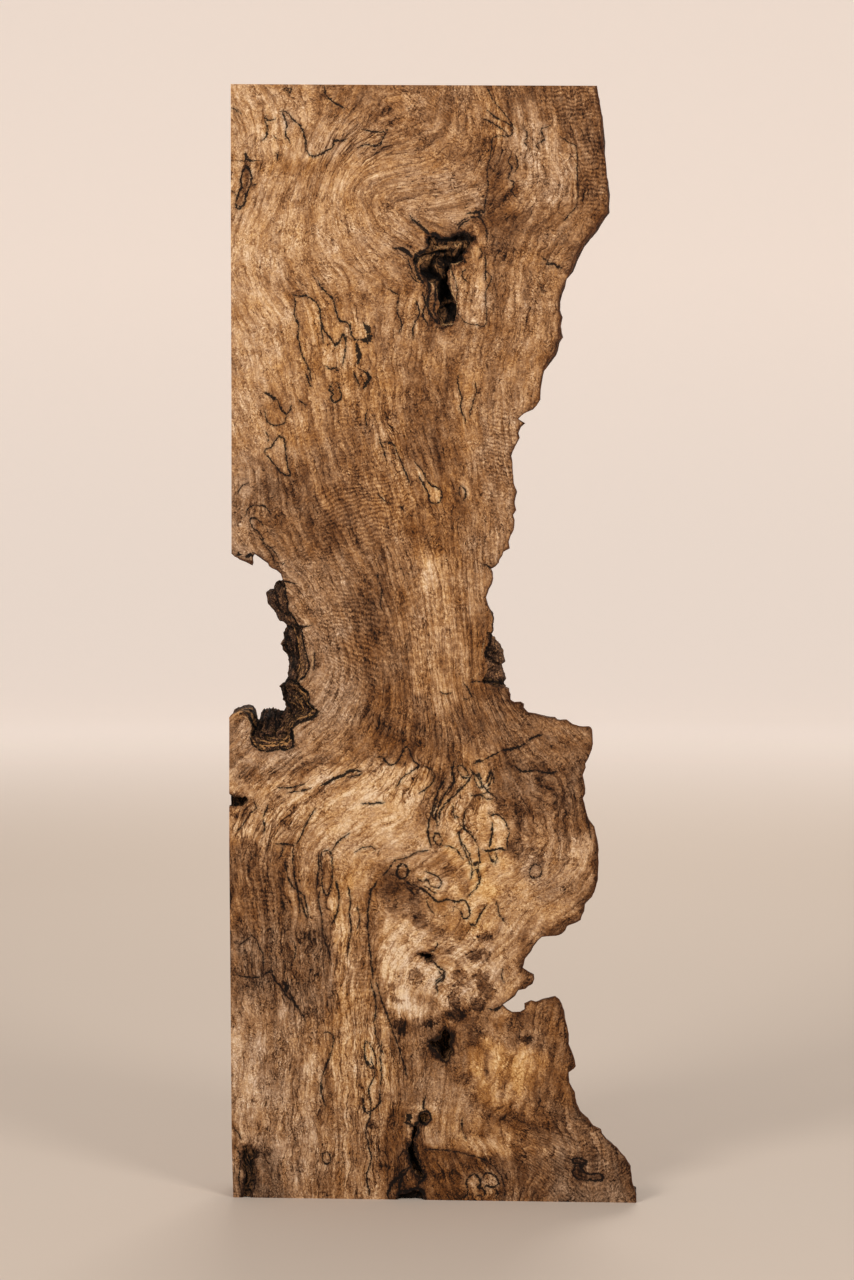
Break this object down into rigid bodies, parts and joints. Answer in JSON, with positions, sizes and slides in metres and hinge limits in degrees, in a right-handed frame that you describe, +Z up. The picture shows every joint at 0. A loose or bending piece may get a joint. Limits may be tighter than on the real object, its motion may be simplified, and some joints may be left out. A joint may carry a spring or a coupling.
{
  "type": "maple burl slab",
  "caption": "Tall slab of spalted maple burl, sawn flat on both faces and both ends, with a straight left edge, a natural bark edge on the right and a bark notch; stands on its foot.",
  "frame": {"origin": "centre of the bounding box, on the sawn foot that the slab stands on", "axes": "+Z up the slab from foot to top end; +X to the right, towards the natural edge; +Y from the front face to the back face"},
  "size_m": [0.2756, 0.05, 0.75],
  "materials": {
    "burl_wood": "rough-sawn bare wood, mottled from pale cream to dark brown, with dark bark on the natural edges"
  },
  "bodies": {
    "root": {"burl_slab": "burl_wood"}
  },
  "joints": []
}
